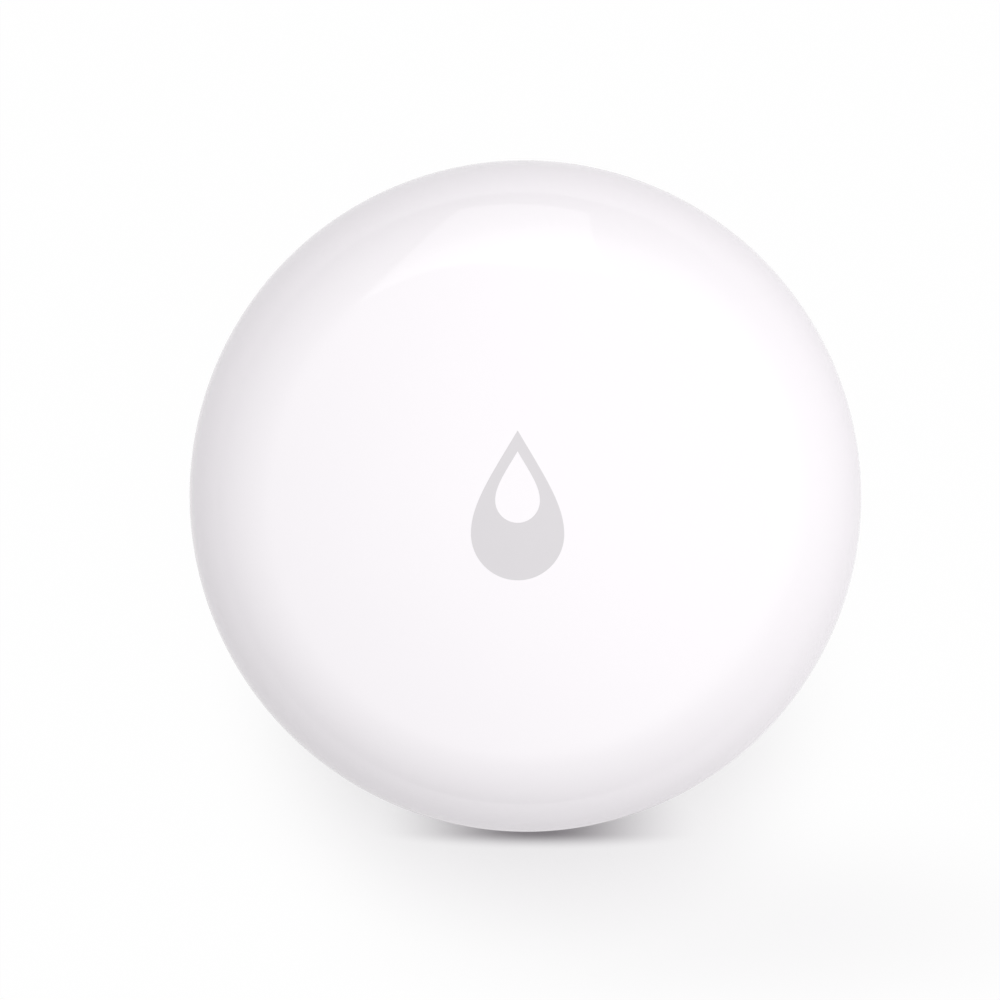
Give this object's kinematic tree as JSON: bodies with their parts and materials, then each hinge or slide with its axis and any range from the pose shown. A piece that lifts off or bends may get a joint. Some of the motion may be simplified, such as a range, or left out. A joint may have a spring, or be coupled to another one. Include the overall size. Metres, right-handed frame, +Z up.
{
  "type": "water leak sensor",
  "caption": "Small round pebble-shaped water leak sensor with a press face, a drop mark, floor probes and a coin-turned battery cover.",
  "frame": {"origin": "centre of the footprint, on the floor that the four feet stand on", "axes": "+Z up out of the marked face, +Y from the middle towards the tip of the drop mark, +X right"},
  "size_m": [0.05, 0.05, 0.015],
  "materials": {
    "white_gloss": "gloss white ABS",
    "mark_grey": "light grey ABS inlay",
    "clear_pipe": "clear acrylic",
    "white_satin": "satin white ABS",
    "seal_rubber": "silicone rubber",
    "foam": "closed-cell foam",
    "steel": "stainless steel",
    "cell_steel": "nickel-plated steel can",
    "brass": "brass",
    "gold_copper": "gold-flashed copper",
    "black_plastic": "moulded black plastic",
    "grey_plastic": "moulded grey plastic",
    "board_green": "green solder mask on glass-fibre board",
    "led_white": "clear resin over a white package",
    "capacitor_can": "aluminium can",
    "capacitor_tan": "ceramic block"
  },
  "bodies": {
    "case": {"top_cover": "white_gloss", "flex_ring": "white_gloss", "base_shell": "white_satin", "case_gasket": "seal_rubber", "probe_springs": "steel", "coin_cell": "cell_steel", "cell_gasket": "grey_plastic", "cell_holder": "black_plastic", "cell_clip": "steel", "cell_contact": "steel", "circuit_board": "board_green", "board_screws": "steel", "switch_body": "black_plastic", "switch_terminals": "steel", "indicator_led": "led_white", "radio_chip": "black_plastic", "crystal": "steel", "sense_amplifier": "black_plastic", "amplifier_pins": "steel", "bulk_capacitor": "capacitor_can", "chip_capacitors": "capacitor_tan", "antenna_trace": "gold_copper", "test_pads": "gold_copper"},
    "button": {"press_face": "white_gloss", "drop_mark": "mark_grey", "light_pipe": "clear_pipe", "switch_plunger": "grey_plastic"},
    "cover_seal": {"cover_seal": "seal_rubber"},
    "battery_cover": {"battery_cover": "white_satin", "probe_screws": "steel", "probe_seals": "seal_rubber", "probe_nuts": "brass", "cell_pad": "foam"}
  },
  "joints": [
    {"name": "button_press", "type": "slide", "parent": "case", "child": "button", "axis": [0, 0, -1], "range_m": [0, 0.0003], "stiffness_N_per_m": 4000, "springref_m": -0.00025, "deforming": ["flex_ring"]},
    {"name": "cover_drop", "type": "slide", "parent": "case", "child": "cover_seal", "axis": [0, 0, -1], "range_m": [0, 0.006]},
    {"name": "cover_turn", "type": "hinge", "parent": "cover_seal", "child": "battery_cover", "pos_m": [0, 0, 0.0015], "axis": [0, 0, -1], "range_deg": [0, 360]}
  ],
  "couplings": [
    {"joint": "cover_drop", "follows": "cover_turn", "m_per_rad": 0.00095493}
  ]
}
